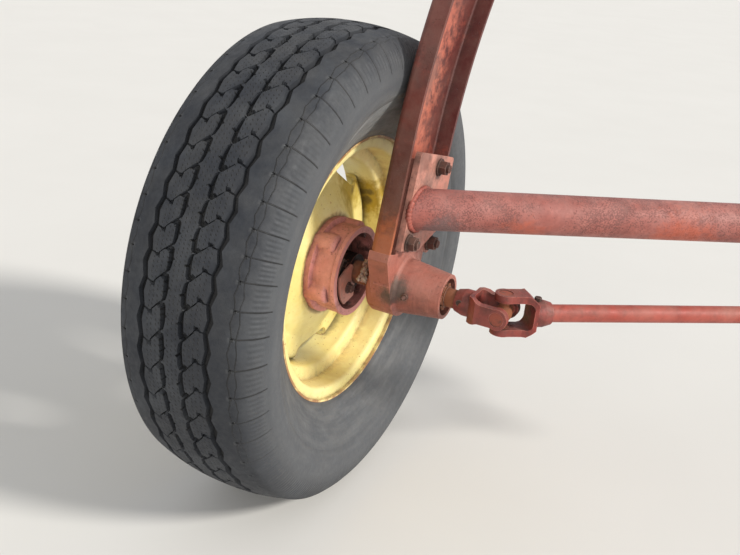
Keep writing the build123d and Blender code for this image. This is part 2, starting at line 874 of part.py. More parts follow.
# Drive shaft between the outer and the far fork
with BuildPart() as drive_shaft:
    shaft_seat = fork_throat + fork_floor
    with BuildSketch(Plane(joint_centre + shaft_dir * shaft_seat, z_dir=shaft_dir)):
        Circle(shaft_radius)
    extrude(amount=shaft_length - 2 * shaft_seat)
finish(drive_shaft, "drive_shaft")
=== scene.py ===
import json
import math
import random

import bpy
import numpy as np
from mathutils import Matrix, Vector


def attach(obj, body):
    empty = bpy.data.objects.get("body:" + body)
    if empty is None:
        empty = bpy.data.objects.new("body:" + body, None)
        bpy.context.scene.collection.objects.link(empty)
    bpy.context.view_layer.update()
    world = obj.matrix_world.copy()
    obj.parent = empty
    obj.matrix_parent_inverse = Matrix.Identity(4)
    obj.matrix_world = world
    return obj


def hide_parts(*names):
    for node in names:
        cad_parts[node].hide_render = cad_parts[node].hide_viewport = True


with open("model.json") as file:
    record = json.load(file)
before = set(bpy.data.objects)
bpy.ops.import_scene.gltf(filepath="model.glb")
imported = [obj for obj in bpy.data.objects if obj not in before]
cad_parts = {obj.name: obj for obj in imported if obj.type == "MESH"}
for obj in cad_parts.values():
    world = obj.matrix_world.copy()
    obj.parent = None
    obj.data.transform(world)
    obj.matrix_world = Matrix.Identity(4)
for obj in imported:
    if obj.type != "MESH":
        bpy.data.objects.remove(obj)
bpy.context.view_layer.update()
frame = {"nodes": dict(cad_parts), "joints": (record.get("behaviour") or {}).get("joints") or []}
nodes = frame["nodes"]
scene = bpy.context.scene
mm = 0.001


def joint(name):
    return next(j for j in frame["joints"] if j["name"] == name)


# directions of the unit, read from its joints
wheelCentre = Vector(joint("wheel_spin")["pos_m"])
jointCentre = Vector(joint("cross_swing")["pos_m"])
inboard = Vector(joint("wheel_spin")["axis"])
rearward = Vector(joint("cross_swing")["axis"])
upward = Vector((0, 0, 1))
legLean = math.radians(14)
legAcross = rearward * math.cos(legLean) - upward * math.sin(legLean)
legUp = upward * math.cos(legLean) + rearward * math.sin(legLean)


def fromWheel(inward, back, up):  # millimetres from the wheel's centre, along the axle, rearward and up
    return wheelCentre + (inboard * inward + rearward * back + upward * up) * mm


def onLeg(inward, across, up):  # millimetres from the wheel's centre, in the directions of the leg
    return wheelCentre + (inboard * inward + legAcross * across + legUp * up) * mm


# Colour and node helpers

def tint(red, green, blue):  # a colour as it looks on screen, 0 to 255
    def linear(part):
        part /= 255
        return part / 12.92 if part <= 0.04045 else ((part + 0.055) / 1.055) ** 2.4
    return (linear(red), linear(green), linear(blue), 1.0)


socketKinds = {"color": "NodeSocketColor", "value": "NodeSocketFloat", "vector": "NodeSocketVector"}


class Wires:  # short calls for making and joining nodes in one tree
    def __init__(self, tree):
        self.tree = tree
        self.column = 0

    def add(self, kind, inputs=(), **settings):
        node = self.tree.nodes.new(kind)
        self.column += 1
        node.location = (180 * (self.column % 9), -240 * (self.column // 9))
        for key, value in settings.items():
            setattr(node, key, value)
        for key, value in dict(inputs).items():
            self.put(node.inputs[key], value)
        return node

    def put(self, socket, value):
        if isinstance(value, bpy.types.NodeSocket):
            self.tree.links.new(value, socket)
        else:
            socket.default_value = value

    def math(self, operation, first, second=0.0, clamp=False):
        node = self.add("ShaderNodeMath", operation=operation, use_clamp=clamp)
        self.put(node.inputs[0], first)
        self.put(node.inputs[1], second)
        return node.outputs[0]

    def times(self, first, second, clamp=False):
        return self.math("MULTIPLY", first, second, clamp)

    def plus(self, first, second):
        return self.math("ADD", first, second)

    def minus(self, first, second):
        return self.math("SUBTRACT", first, second)

    def larger(self, first, second):
        return self.math("MAXIMUM", first, second)

    def mix(self, amount, first, second):
        node = self.add("ShaderNodeMix", data_type="RGBA")
        self.put(node.inputs["Factor"], amount)
        self.put(node.inputs[6], first)
        self.put(node.inputs[7], second)
        return node.outputs[2]

    def paint(self, amount, color, shade):
        return self.mix(amount, color, tint(*shade))

    def blendValue(self, amount, first, second):
        node = self.add("ShaderNodeMix", data_type="FLOAT")
        self.put(node.inputs["Factor"], amount)
        self.put(node.inputs[2], first)
        self.put(node.inputs[3], second)
        return node.outputs[0]

    def remap(self, value, low, high, newLow=0.0, newHigh=1.0):
        node = self.add("ShaderNodeMapRange", {"Value": value, "From Min": low, "From Max": high,
                                               "To Min": newLow, "To Max": newHigh})
        return node.outputs[0]

    def coords(self):
        return self.add("ShaderNodeTexCoord").outputs["Object"]

    def vector(self, operation, first, second=(0, 0, 0)):
        return self.add("ShaderNodeVectorMath", {0: first, 1: second}, operation=operation).outputs

    def noiseAt(self, place, scale, detail, rough):
        return self.add("ShaderNodeTexNoise", {"Vector": place, "Scale": scale, "Detail": detail,
                                               "Roughness": rough}).outputs["Fac"]

    def noise(self, scale, detail=4.0, rough=0.55, shift=0.0):
        place = self.add("ShaderNodeMapping", {"Vector": self.coords(), "Location": (shift, shift * 0.7, -shift)})
        return self.noiseAt(place.outputs[0], scale, detail, rough)


def makeGroup(name, inputs, outputs, build):
    tree = bpy.data.node_groups.new(name, "ShaderNodeTree")
    for socketName, kind, value in inputs:
        socket = tree.interface.new_socket(name=socketName, in_out="INPUT", socket_type=socketKinds[kind])
        socket.default_value = value
    for socketName, kind in outputs:
        tree.interface.new_socket(name=socketName, in_out="OUTPUT", socket_type=socketKinds[kind])
    wires = Wires(tree)
    source = wires.add("NodeGroupInput").outputs
    sink = wires.add("NodeGroupOutput").inputs
    for socketName, value in build(wires, source).items():
        wires.put(sink[socketName], value)
    return tree


def useGroup(wires, tree, **inputs):
    node = wires.add("ShaderNodeGroup")
    node.node_tree = tree
    for key, value in inputs.items():
        wires.put(node.inputs[key], value)
    return node.outputs


# Shared effects

def buildEdgeWear(wires, source):
    bevel = wires.add("ShaderNodeBevel", {"Radius": source["Radius"]}, samples=8)
    surface = wires.add("ShaderNodeNewGeometry")
    bent = wires.minus(1.0, wires.vector("DOT_PRODUCT", bevel.outputs[0], surface.outputs["Normal"])["Value"])
    grain = wires.noise(140.0, detail=5.0, rough=0.65)
    ragged = wires.plus(wires.times(bent, source["Gain"]), wires.remap(grain, 0.3, 0.7, -0.45, 0.3))
    return {"Mask": wires.remap(ragged, 0.25, 0.7)}


edgeWear = makeGroup("edgeWear", [("Radius", "value", 0.002), ("Gain", "value", 4.0)],
                     [("Mask", "value")], buildEdgeWear)


def buildPatches(wires, source):
    place = wires.add("ShaderNodeMapping", {"Vector": wires.coords(), "Location": source["Shift"]})
    broad = wires.noiseAt(place.outputs[0], source["Scale"], detail=8.0, rough=0.62)
    low = wires.minus(0.78, wires.times(source["Amount"], 0.5))
    high = wires.plus(low, source["Softness"])
    return {"Mask": wires.remap(broad, low, high)}


patches = makeGroup("patches", [("Scale", "value", 20.0), ("Amount", "value", 0.4),
                                ("Softness", "value", 0.08), ("Shift", "vector", (0, 0, 0))],
                    [("Mask", "value")], buildPatches)


def buildDust(wires, source):
    normal = wires.add("ShaderNodeTexCoord").outputs["Normal"]
    up = wires.add("ShaderNodeSeparateXYZ", {"Vector": normal}).outputs["Z"]
    facing = wires.remap(up, -0.2, 0.9)
    cloud = wires.noise(26.0, detail=6.0, rough=0.6, shift=3.0)
    speck = wires.noise(900.0, detail=2.0, rough=0.5, shift=5.0)
    lying = wires.times(wires.plus(facing, 0.35), wires.remap(cloud, 0.36, 0.66))
    return {"Mask": wires.times(wires.times(lying, source["Amount"]), wires.remap(speck, 0.3, 0.6, 0.55, 1.0),
                                clamp=True)}


dust = makeGroup("dust", [("Amount", "value", 0.4)], [("Mask", "value")], buildDust)


def buildFlecks(wires, source):  # small ragged specks, gathered in loose clouds
    fine = wires.noiseAt(wires.coords(), source["Scale"], detail=3.0, rough=0.55)
    cloud = wires.noise(17.0, detail=4.0, rough=0.6, shift=8.0)
    level = wires.minus(0.76, wires.times(source["Amount"], wires.remap(cloud, 0.3, 0.65, 0.1, 0.5)))
    return {"Mask": wires.remap(wires.minus(fine, level), 0.0, 0.03)}


flecks = makeGroup("flecks", [("Scale", "value", 300.0), ("Amount", "value", 0.3)], [("Mask", "value")], buildFlecks)


def buildPlace(wires, source):  # a ragged round patch at one place
    apart = wires.vector("DISTANCE", wires.coords(), source["Centre"])["Value"]
    share = wires.math("DIVIDE", apart, source["Radius"])
    grain = wires.noise(70.0, detail=7.0, rough=0.65, shift=6.0)
    ragged = wires.plus(share, wires.times(wires.minus(grain, 0.5), source["Ragged"]))
    return {"Mask": wires.remap(ragged, 0.5, 1.0, 1.0, 0.0)}


placeMask = makeGroup("placeMask", [("Centre", "vector", (0, 0, 0)), ("Radius", "value", 0.02),
                                    ("Ragged", "value", 1.6)], [("Mask", "value")], buildPlace)


def buildAxle(wires, source):  # millimetres along the axle and out from it
    offset = wires.vector("SUBTRACT", wires.coords(), tuple(wheelCentre))[0]
    along = wires.vector("DOT_PRODUCT", offset, tuple(inboard))["Value"]
    onAxle = wires.add("ShaderNodeVectorMath", {0: tuple(inboard), "Scale": along}, operation="SCALE").outputs[0]
    radius = wires.vector("LENGTH", wires.vector("SUBTRACT", offset, onAxle)[0])["Value"]
    return {"Along": wires.times(along, 1000.0), "Radius": wires.times(radius, 1000.0)}


axlePlace = makeGroup("axlePlace", [], [("Along", "value"), ("Radius", "value")], buildAxle)


def buildGrimeAndShade(wires, source):  # dirt and painted shade where two faces meet: occlusion darkens the crevices
    clearness = wires.add("ShaderNodeAmbientOcclusion", {"Distance": source["Reach"]}, samples=6).outputs["AO"]
    grain = wires.noise(85.0, detail=5.0, rough=0.6, shift=11.0)
    ragged = wires.plus(clearness, wires.remap(grain, 0.3, 0.7, -0.16, 0.16))
    return {"Mask": wires.remap(ragged, 0.42, 0.82, 1.0, 0.0)}


grimeAndShade = makeGroup("grimeAndShade", [("Reach", "value", 0.02)], [("Mask", "value")], buildGrimeAndShade)


def buildRings(wires, source):  # fine turned or scratched rings about the axle
    axle = useGroup(wires, axlePlace)
    wander = wires.noise(9.0, detail=2.0)
    place = wires.add("ShaderNodeCombineXYZ", {"X": axle["Along"], "Y": axle["Radius"], "Z": wander}).outputs[0]
    return {"Height": wires.noiseAt(place, source["Pitch"], detail=5.0, rough=0.7)}


turnedRings = makeGroup("turnedRings", [("Pitch", "value", 0.6)], [("Height", "value")], buildRings)


def startMaterial(name):
    material = bpy.data.materials.new(name)
    material.use_nodes = True
    material.node_tree.nodes.clear()
    wires = Wires(material.node_tree)
    shader = wires.add("ShaderNodeBsdfPrincipled")
    output = wires.add("ShaderNodeOutputMaterial")
    wires.put(output.inputs["Surface"], shader.outputs[0])
    return material, wires, shader


def addBump(wires, shader, height, distance):
    bump = wires.add("ShaderNodeBump", {"Height": height, "Distance": distance, "Strength": 1.0})
    wires.put(shader.inputs["Normal"], bump.outputs[0])


# Painted steel and castings, faded, stained and rusted, with dirt and painted shade in crevices

def cloudMask(wires, look, kind, shift):  # kind is fade, stain or rust
    return useGroup(wires, patches, Scale=look[kind + "Scale"], Amount=look[kind + "Amount"],
                    Softness=look[kind + "Soft"], Shift=shift)["Mask"]


def paintedMetal(name, look):
    material, wires, shader = startMaterial(name)
    fade = cloudMask(wires, look, "fade", (look["seed"], 0, 0))
    color = wires.mix(fade, tint(*look["paint"]), tint(*look["faded"]))
    stain = cloudMask(wires, look, "stain", (0, look["seed"], 0))
    color = wires.paint(wires.times(stain, look["stainDepth"]), color, look["stain"])
    mottle = wires.noise(look["mottleScale"], detail=6.0, rough=0.7, shift=look["seed"])
    color = wires.paint(wires.remap(mottle, 0.35, 0.7, 0.0, look["mottle"]), color, look["stain"])
    rust = cloudMask(wires, look, "rust", (0, 0, look["seed"]))
    chips = useGroup(wires, flecks, Scale=look["chipScale"], Amount=look["chipAmount"])["Mask"]
    edges = useGroup(wires, edgeWear, Radius=look["edgeRadius"], Gain=look["edgeGain"])["Mask"]
    blotch = wires.noise(210.0, detail=4.0, rough=0.6, shift=9.0)
    rustTone = wires.mix(wires.remap(blotch, 0.35, 0.65), tint(*look["rustDark"]), tint(*look["rustLight"]))
    color = wires.paint(wires.times(edges, look["edgeShow"]), color, look["edgeColor"])
    bare = wires.larger(rust, wires.times(chips, look["chipShow"]))
    color = wires.mix(bare, color, rustTone)
    for centre, radius, shade, depth in look.get("places", ()):
        patch = useGroup(wires, placeMask, Centre=tuple(centre), Radius=radius)["Mask"]
        color = wires.paint(wires.times(patch, depth), color, shade)
    if look.get("bands"):
        axle = useGroup(wires, axlePlace)
        broken = wires.remap(wires.noise(46.0, detail=6.0, rough=0.65, shift=4.0), 0.36, 0.54)
        for which, low, high, soft, shade, depth in look["bands"]:
            inside = wires.times(wires.remap(axle[which], low - soft, low),
                                 wires.remap(axle[which], high, high + soft, 1.0, 0.0))
            color = wires.paint(wires.times(wires.times(inside, broken), depth), color, shade)
    film = useGroup(wires, dust, Amount=look["dust"])["Mask"]
    color = wires.paint(film, color, look["dustColor"])
    # dirt and painted shade: occluded crevices and corners are darkened
    grimeAndShadeMask = useGroup(wires, grimeAndShade, Reach=look["grimeAndShadeReach"])["Mask"]
    color = wires.paint(wires.times(grimeAndShadeMask, look["grimeAndShade"]), color, look["grimeAndShadeColor"])
    scratch = useGroup(wires, turnedRings, Pitch=look["ringPitch"])["Height"]
    color = wires.paint(wires.remap(scratch, 0.5, 0.75, 0.0, look["ringShow"]), color, look["edgeColor"])
    wires.put(shader.inputs["Base Color"], color)
    wires.put(shader.inputs["Specular IOR Level"], look["specular"])
    gloss = wires.blendValue(wires.larger(bare, film), look["roughness"], look["bareRoughness"])
    wires.put(shader.inputs["Roughness"], wires.plus(gloss, wires.remap(mottle, 0.3, 0.7, -0.08, 0.1)))
    grain = wires.noise(look["grainScale"], detail=6.0, rough=0.6, shift=2.0)
    rough = wires.plus(wires.times(grain, look["grain"]), wires.times(bare, look["bareSunk"]))
    rough = wires.plus(rough, wires.times(scratch, look["rings"]))
    addBump(wires, shader, wires.plus(rough, wires.times(rust, wires.noise(600.0, detail=3.0))), look["relief"])
    return material


# places are round patches: centre, radius in metres, colour, strength
# bands are rings about the axle: measured along it or out from it, from, to, softness in millimetres, colour, strength
redLook = {
    "seed": 0.0, "paint": (150, 62, 48), "faded": (172, 92, 78), "stain": (84, 42, 36),
    "fadeScale": 9.0, "fadeAmount": 0.7, "fadeSoft": 0.3,
    "stainScale": 24.0, "stainAmount": 0.42, "stainSoft": 0.16, "stainDepth": 0.6,
    "mottleScale": 75.0, "mottle": 0.3, "rustScale": 34.0, "rustAmount": 0.14, "rustSoft": 0.05,
    "rustDark": (70, 38, 28), "rustLight": (138, 76, 42), "chipScale": 340.0, "chipAmount": 0.3, "chipShow": 0.8,
    "edgeRadius": 0.002, "edgeGain": 3.4, "edgeShow": 0.8, "edgeColor": (214, 140, 122),
    "dust": 0.34, "dustColor": (158, 126, 112), "roughness": 0.5, "bareRoughness": 0.85, "bareSunk": -0.6,
    "grainScale": 260.0, "grain": 0.4, "relief": 0.0006, "ringPitch": 0.5, "ringShow": 0.0, "rings": 0.0,
    "grimeAndShade": 0.55, "grimeAndShadeReach": 0.02, "grimeAndShadeColor": (48, 32, 27), "specular": 0.5,
}

tubePaint = paintedMetal("tubePaint", {
    **redLook, "seed": 1.3, "paint": (162, 88, 76), "faded": (186, 122, 112), "fadeAmount": 0.75,
    "chipScale": 460.0, "chipAmount": 0.62, "chipShow": 0.6, "mottle": 0.6, "stain": (112, 62, 58),
    "stainAmount": 0.5, "rustDark": (84, 52, 52), "rustLight": (104, 64, 58), "rustAmount": 0.1,
    "dustColor": (168, 128, 120),
    "places": [(Vector((-0.72, -0.012, -0.022)), 0.035, (104, 92, 92), 0.7),
               (Vector((-0.60, 0.0, -0.034)), 0.05, (196, 92, 60), 0.6),
               (Vector((-0.35, 0.0, -0.034)), 0.07, (196, 92, 60), 0.55)]})
legPaint = paintedMetal("legPaint", {
    **redLook, "seed": 4.1, "paint": (144, 56, 42), "faded": (168, 84, 64), "stainAmount": 0.55,
    "stain": (92, 50, 40), "rustAmount": 0.26, "rustLight": (168, 88, 46),
    # the dark places at across -84 and 64 are painted shade on the front flange's outer face and the rear flange's
    # inner face; the pale places at across 6 are painted light on the web
    "places": [(onLeg(128, -84, 60), 0.075, (172, 92, 46), 0.75), (onLeg(128, -84, 160), 0.09, (76, 40, 30), 0.85),
               (onLeg(134, -84, 260), 0.10, (92, 46, 36), 0.75), (onLeg(160, -84, 380), 0.12, (84, 42, 34), 0.75),
               (onLeg(120, 6, 235), 0.07, (206, 118, 92), 0.7), (onLeg(128, 6, 305), 0.07, (206, 118, 92), 0.7),
               (onLeg(140, 6, 375), 0.07, (200, 110, 88), 0.7), (onLeg(156, 6, 450), 0.08, (200, 110, 88), 0.6),
               (onLeg(124, -30, 300), 0.05, (104, 84, 78), 0.6), (onLeg(140, 64, 250), 0.085, (78, 28, 27), 0.92),
               (onLeg(155, 64, 330), 0.085, (78, 28, 27), 0.92), (onLeg(165, 64, 420), 0.10, (78, 28, 27), 0.92)]})
platePaint = paintedMetal("platePaint", {
    **redLook, "seed": 6.7, "paint": (192, 118, 100), "faded": (214, 152, 134), "stain": (136, 98, 84),
    "stainAmount": 0.62, "stainScale": 44.0, "rustAmount": 0.22, "rustLight": (176, 96, 62),
    "places": [(onLeg(154, 13, 180), 0.026, (88, 58, 52), 0.7), (onLeg(154, -46, 68), 0.028, (92, 66, 56), 0.7),
               (onLeg(154, -20, 150), 0.03, (112, 84, 74), 0.55), (onLeg(154, -48, 190), 0.03, (84, 50, 42), 0.6)]})
castPaint = paintedMetal("castPaint", {
    **redLook, "seed": 8.2, "paint": (168, 94, 78), "faded": (192, 128, 112), "grain": 0.9, "grainScale": 150.0,
    "relief": 0.0009, "rustAmount": 0.2, "stain": (86, 56, 48), "stainAmount": 0.42, "ringPitch": 1.7,
    "ringShow": 0.3, "rings": 0.6,
    "places": [(fromWheel(150, -40, 8), 0.024, (70, 68, 60), 0.9),
               (fromWheel(138, -44, -4), 0.018, (62, 50, 44), 0.8),
               (fromWheel(104, -38, -22), 0.030, (156, 82, 40), 0.6),
               (fromWheel(120, -30, 40), 0.028, (192, 122, 108), 0.5),
               (fromWheel(180, -14, -36), 0.05, (96, 46, 38), 0.6)]})
drumPaint = paintedMetal("drumPaint", {
    **redLook, "seed": 11.0, "paint": (204, 114, 106), "faded": (228, 156, 148), "fadeAmount": 0.95, "grain": 0.9,
    "grainScale": 110.0, "relief": 0.001, "edgeShow": 0.95, "edgeRadius": 0.003, "ringPitch": 0.9, "ringShow": 0.6,
    "rings": 0.4, "stain": (132, 68, 60), "rustAmount": 0.08, "dust": 0.16, "grimeAndShade": 0.7, "grimeAndShadeReach": 0.034,
    # the band inside radius 59.2 paints the drum's bore near-black: painted shade inside the mouth
    "bands": [("Radius", 0, 59.2, 1.5, (26, 18, 17), 0.95)]})
forkPaint = paintedMetal("forkPaint", {
    **redLook, "seed": 13.5, "paint": (134, 46, 38), "faded": (156, 72, 62), "grimeAndShade": 0.8, "grain": 1.0,
    "grainScale": 190.0, "relief": 0.0007, "stainAmount": 0.62, "stain": (66, 32, 28), "stainScale": 50.0,
    "edgeShow": 0.9, "edgeColor": (196, 112, 98)})
shaftPaint = paintedMetal("shaftPaint", {
    **redLook, "seed": 14.2, "paint": (168, 72, 58), "faded": (184, 98, 84), "chipAmount": 0.2, "mottle": 0.35,
    "rustLight": (150, 92, 66)})
# grease and painted shade: the pawl carrier inside the drum is painted near-black with little specular, so it reads as
# shaded
greaseAndShadePaint = paintedMetal("greaseAndShadePaint", {
    **redLook, "seed": 15.5, "paint": (58, 38, 33), "faded": (68, 45, 39), "stain": (30, 22, 20), "specular": 0.08,
    "stainAmount": 0.9, "stainDepth": 0.92, "roughness": 0.6, "dust": 0.0, "edgeShow": 0.3})

yellowLook = {
    **redLook, "seed": 21.0, "paint": (232, 210, 108), "faded": (242, 230, 162), "stain": (176, 146, 62),
    "fadeScale": 7.0, "fadeAmount": 0.95, "stainScale": 30.0, "stainAmount": 0.26, "stainDepth": 0.55,
    "mottleScale": 55.0, "mottle": 0.16, "rustScale": 30.0, "rustAmount": 0.08,
    "rustDark": (112, 66, 34), "rustLight": (196, 128, 66), "chipScale": 260.0, "chipAmount": 0.24,
    "edgeColor": (190, 122, 86), "edgeGain": 4.2, "edgeShow": 0.95, "dust": 0.2, "dustColor": (214, 200, 160),
}
discPaint = paintedMetal("discPaint", {
    **yellowLook, "bands": [("Radius", 0, 78, 4, (120, 84, 52), 0.7)],
    "places": [(fromWheel(0, 96, 104), 0.06, (176, 148, 28), 0.9), (fromWheel(-4, 84, 120), 0.016, (78, 62, 22), 0.7),
               (fromWheel(-2, 104, 92), 0.012, (78, 62, 22), 0.7)]})
rimPaint = paintedMetal("rimPaint", {
    **yellowLook, "seed": 23.0, "rustAmount": 0.12, "stainAmount": 0.22, "paint": (238, 220, 134),
    "stain": (190, 146, 78),
    "places": [(fromWheel(-2, 148, 72), 0.05, (178, 148, 24), 0.95),
               (fromWheel(-5, 152, 62), 0.012, (84, 66, 22), 0.8),
               (fromWheel(4, 146, 80), 0.010, (84, 66, 22), 0.8),
               (fromWheel(-12, 146, 78), 0.010, (84, 66, 22), 0.7)],
    "bands": [("Radius", 204.8, 212, 1.2, (150, 94, 56), 0.9), ("Radius", 184.5, 187.5, 2.5, (188, 124, 62), 0.15),
              ("Along", 20, 30, 4, (206, 150, 82), 0.16)]})


# Bare and rusted steel, with dirt and painted shade in crevices

def rustedSteel(name, look):
    material, wires, shader = startMaterial(name)
    field = wires.noise(look["scale"], detail=8.0, rough=0.65, shift=look["seed"])
    rust = useGroup(wires, patches, Scale=look["rustScale"], Amount=look["rust"], Softness=look["rustSoft"],
                    Shift=(look["seed"], 0, 2.0))["Mask"]
    color = wires.mix(wires.remap(field, 0.3, 0.7), tint(*look["dark"]), tint(*look["steel"]))
    color = wires.paint(rust, color, look["rustColor"])
    edges = useGroup(wires, edgeWear, Radius=look["edgeRadius"], Gain=look["edgeGain"])["Mask"]
    color = wires.paint(wires.times(edges, look["edge"]), color, look["edgeColor"])
    film = useGroup(wires, dust, Amount=look["dust"])["Mask"]
    color = wires.paint(film, color, look["dustColor"])
    # dirt and painted shade: occluded crevices and corners are darkened
    grimeAndShadeMask = useGroup(wires, grimeAndShade, Reach=look["grimeAndShadeReach"])["Mask"]
    color = wires.paint(wires.times(grimeAndShadeMask, look["grimeAndShade"]), color, look["grimeAndShadeColor"])
    wires.put(shader.inputs["Base Color"], color)
    wires.put(shader.inputs["Metallic"], wires.blendValue(wires.larger(rust, film), look["metal"], 0.0))
    wires.put(shader.inputs["Roughness"], wires.blendValue(rust, look["roughness"], look["rustRoughness"]))
    addBump(wires, shader, wires.noise(look["grainScale"], detail=5.0, rough=0.6, shift=1.0), look["relief"])
    return material


steelLook = {"seed": 2.0, "scale": 60.0, "dark": (36, 27, 26), "steel": (92, 76, 70), "metal": 0.5,
             "rust": 0.8, "rustScale": 96.0, "rustSoft": 0.12, "rustColor": (84, 50, 42), "rustRoughness": 0.88,
             "edge": 0.75, "edgeColor": (176, 148, 136), "edgeRadius": 0.0012, "edgeGain": 4.0,
             "dust": 0.22, "dustColor": (158, 132, 112), "grimeAndShade": 0.7, "grimeAndShadeReach": 0.012,
             "grimeAndShadeColor": (34, 25, 22), "roughness": 0.5, "grainScale": 540.0, "relief": 0.0005}
boltSteel = rustedSteel("boltSteel", steelLook)
shaftSteel = rustedSteel("shaftSteel", {**steelLook, "seed": 5.0, "rustColor": (134, 76, 46), "rust": 1.0})
darkSteel = rustedSteel("darkSteel", {**steelLook, "seed": 7.0, "dark": (34, 28, 26), "steel": (74, 62, 56),
                                      "rustColor": (66, 44, 36), "dust": 0.1})
cupSteel = rustedSteel("cupSteel", {**steelLook, "seed": 9.0, "rustColor": (150, 72, 56), "rust": 0.85,
                                    "steel": (128, 84, 72)})


# Rubber: dark tread with painted shade in the grooves, paler scuffed walls with a patch of painted sunlight on the
# upper wall, fine ribs and cracks at the shoulder

tyreLook = {
    "tread": (35, 38, 44), "wall": (76, 78, 81), "pale": (76, 80, 85), "scuff": (134, 134, 132),
    "groove": (14, 14, 16), "dust": 0.2, "dustColor": (104, 102, 98), "glossScale": 120.0, "roughness": (0.6, 0.84),
    "cloudScale": 14.0, "cloudShow": 0.45, "cutShow": 0.85, "spotShow": 0.1, "grooveShade": 0.9,
    "streakAcross": 0.03, "streakAround": 0.16, "streakScale": 2.6, "scuffLow": 0.2, "scuffWall": 0.1,
    # from the crown along the section, in millimetres
    "wallFade": (86.0, 140.0), "scuffFade": (150.0, 215.0), "sunlitScuffFade": (150.0, 185.0),
    "ringFade": (170.0, 176.0), "creaseRise": (168.0, 176.0), "creaseFall": (176.0, 190.0),
    "sunlitScuffPlace": (90, -10, 262), "sunlitScuffReach": 0.2, "sunlitScuffRagged": 1.1,
    "grainScale": 340.0, "grain": 0.45, "ringPitch": 0.9, "ring": 0.1, "rib": 0.35, "crease": 2.2, "cut": 1.2,
    "relief": 0.0009, "opposite": 0.83,
}


def tyreRubber(name, look):
    material, wires, shader = startMaterial(name)
    signed = wires.add("ShaderNodeAttribute", attribute_name="across").outputs["Fac"]
    around = wires.add("ShaderNodeAttribute", attribute_name="around").outputs["Fac"]
    sunk = wires.add("ShaderNodeAttribute", attribute_name="sunk").outputs["Fac"]
    across = wires.math("ABSOLUTE", signed)
    turned = wires.minus(look["opposite"], around)
    share = wires.blendValue(wires.math("LESS_THAN", signed, 0.0), around, turned)
    wall = wires.remap(across, *look["wallFade"])
    color = wires.mix(wall, tint(*look["tread"]), tint(*look["wall"]))
    cloud = useGroup(wires, patches, Scale=look["cloudScale"], Amount=0.6, Softness=0.3, Shift=(3, 1, 0))["Mask"]
    color = wires.paint(wires.times(cloud, look["cloudShow"]), color, look["pale"])
    streakPlace = wires.add("ShaderNodeCombineXYZ", {"X": wires.times(across, look["streakAcross"]),
                                                     "Y": wires.times(around, look["streakAround"])}).outputs[0]
    streak = wires.noiseAt(streakPlace, look["streakScale"], detail=6.0, rough=0.6)
    low = wires.remap(across, *look["scuffFade"])
    streaky = wires.remap(streak, 0.42, 0.7)
    exposed = wires.plus(wires.times(low, look["scuffLow"]), wires.times(wall, look["scuffWall"]))
    color = wires.paint(wires.times(streaky, exposed, clamp=True), color, look["scuff"])
    # painted sunlight: a pale patch on the upper wall, streaked like the scuffs
    patch = useGroup(wires, placeMask, Centre=tuple(fromWheel(*look["sunlitScuffPlace"])), Radius=look["sunlitScuffReach"],
                     Ragged=look["sunlitScuffRagged"])["Mask"]
    sunlitScuffs = wires.times(wires.remap(across, *look["sunlitScuffFade"]), wires.remap(streak, 0.3, 0.62, 0.35, 0.9))
    color = wires.paint(wires.times(patch, sunlitScuffs), color, look["scuff"])
    lines = useGroup(wires, tyreLines, Across=across, Signed=signed, Around=around, Share=share)
    color = wires.paint(wires.times(lines["Spots"], look["spotShow"]), color, look["scuff"])
    cut = wires.larger(lines["Cracks"], lines["Sipes"])
    color = wires.paint(wires.times(cut, look["cutShow"]), color, look["groove"])
    # painted shade: groove floors and slits darken towards the bottom
    color = wires.paint(wires.remap(sunk, 0.6, 1.0, 0.0, look["grooveShade"]), color, look["groove"])
    film = useGroup(wires, dust, Amount=look["dust"])["Mask"]
    color = wires.paint(film, color, look["dustColor"])
    wires.put(shader.inputs["Base Color"], color)
    gloss = wires.noise(look["glossScale"])
    wires.put(shader.inputs["Roughness"], wires.remap(gloss, 0.3, 0.7, *look["roughness"]))
    grain = wires.times(wires.noise(look["grainScale"], detail=5.0, rough=0.6), look["grain"])
    rings = wires.math("SINE", wires.times(across, look["ringPitch"]))
    ringed = wires.times(wires.times(rings, wires.remap(across, *look["ringFade"])), look["ring"])
    height = wires.plus(wires.plus(grain, ringed), wires.times(lines["Ribs"], look["rib"]))
    crease = wires.times(wires.remap(across, *look["creaseRise"]), wires.remap(across, *look["creaseFall"], 1.0, 0.0))
    height = wires.plus(height, wires.times(crease, look["crease"]))
    height = wires.minus(height, wires.times(cut, look["cut"]))
    addBump(wires, shader, height, look["relief"])
    return material


lineLook = {  # across in millimetres from the crown, along in pitches
    "wobble": 5.0, "wobbleScale": 60.0,
    "firstCrack": 80.5, "firstSwing": 7.0, "firstWidth": 1.0,
    "secondCrack": 86.0, "secondSwing": 5.0, "secondWidth": 0.8,
    "crossWidth": 0.034, "crossBend": 0.007, "crossZone": (79.0, 132.0, 2.0),
    "pit": (0.02, 0.1), "pitAcross": (80.8, 2.6), "spot": (0.05, 0.1), "spotAcross": (77.2, 2.6),
    "dashAcross": 0.155, "dashAround": 6.0, "dashSlope": 0.11, "dashScatter": 0.28, "dashSize": (0.12, 0.22),
    "dashEnd": (41.0, 43.0), "ribPitch": 31.4, "ribZone": (98.0, 126.0, 5.0),
    "crackedPitch": 26.5, "pitches": 59, "crackFade": (0.35, 0.75), "leastCrack": 0.12,
}


